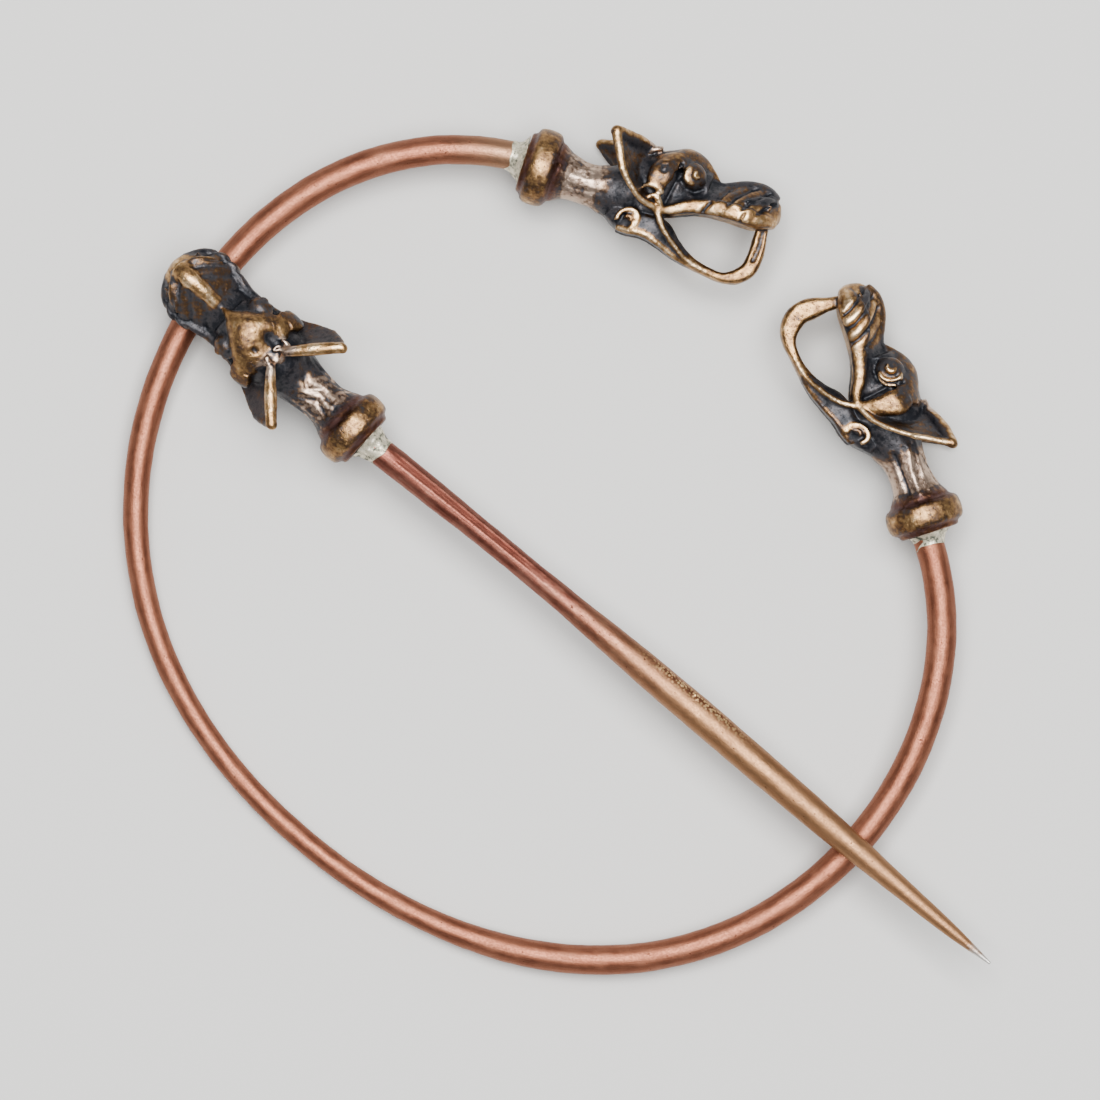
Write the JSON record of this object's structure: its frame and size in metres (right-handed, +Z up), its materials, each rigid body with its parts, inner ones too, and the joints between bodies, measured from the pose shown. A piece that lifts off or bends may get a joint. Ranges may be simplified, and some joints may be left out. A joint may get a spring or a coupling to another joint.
{
  "type": "penannular brooch",
  "caption": "Open hoop of round copper wire with a cast bronze dragon head on each end, and a long copper pin whose own dragon head rides on the hoop with its open mouth.",
  "frame": {"origin": "middle of the bounding box, on the surface that the brooch lies on", "axes": "+X along the pin towards its point, +Y towards the gap between the two heads, +Z up from the surface"},
  "size_m": [0.1068, 0.0808, 0.0128],
  "materials": {
    "copper": "drawn copper wire, worn, pinkish brown with dark reddish flecks",
    "gilt_copper": "drawn copper, turning golden bronze towards the point",
    "bronze": "cast bronze, dark in the recesses and polished bright on the edges",
    "solder": "rough pale solder"
  },
  "bodies": {
    "ring": {"hoop": "copper", "left_terminal": "bronze", "right_terminal": "bronze", "left_solder": "solder", "right_solder": "solder"},
    "swinging_pin": {"pin": "gilt_copper", "pin_head": "bronze", "pin_solder": "solder"}
  },
  "joints": [
    {"name": "pin_swing", "type": "hinge", "parent": "ring", "child": "swinging_pin", "pos_m": [-0.04928, -0.00735, 0.00348], "axis": [0.1797, -0.9814, -0.0673], "range_deg": [0, 353]}
  ]
}
